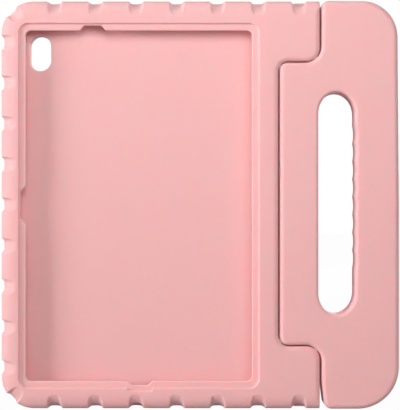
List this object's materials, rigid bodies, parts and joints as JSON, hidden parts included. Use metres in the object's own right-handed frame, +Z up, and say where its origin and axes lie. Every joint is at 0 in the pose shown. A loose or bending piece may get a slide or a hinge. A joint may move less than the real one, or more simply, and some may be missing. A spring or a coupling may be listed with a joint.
{
  "type": "kids tablet case",
  "caption": "Soft foam case for a tablet: a rounded frame with a lipped pocket and scalloped rim, and a slotted carrying handle hinged between its ears.",
  "frame": {"origin": "middle of the case's bottom edge, halfway through its depth", "axes": "+X from the frame towards the handle, +Z up along the hinge axis, the screen side faces -Y"},
  "size_m": [0.278, 0.025, 0.285],
  "materials": {
    "foam": "matte closed-cell foam with a fine moulded skin",
    "pin_plastic": "satin moulded",
    "bush_plastic": "plain moulded"
  },
  "bodies": {
    "case": {"case_frame": "foam", "hinge_pin_top": "pin_plastic", "hinge_pin_bottom": "pin_plastic", "ear_bush_top": "bush_plastic", "ear_bush_bottom": "bush_plastic"},
    "handle": {"handle": "foam", "handle_bush_top": "bush_plastic", "handle_bush_bottom": "bush_plastic"}
  },
  "joints": [
    {"name": "handle_hinge", "type": "hinge", "parent": "case", "child": "handle", "pos_m": [0.0701, 0, 0.1425], "axis": [0, 0, 1], "range_deg": [0, 90]}
  ]
}
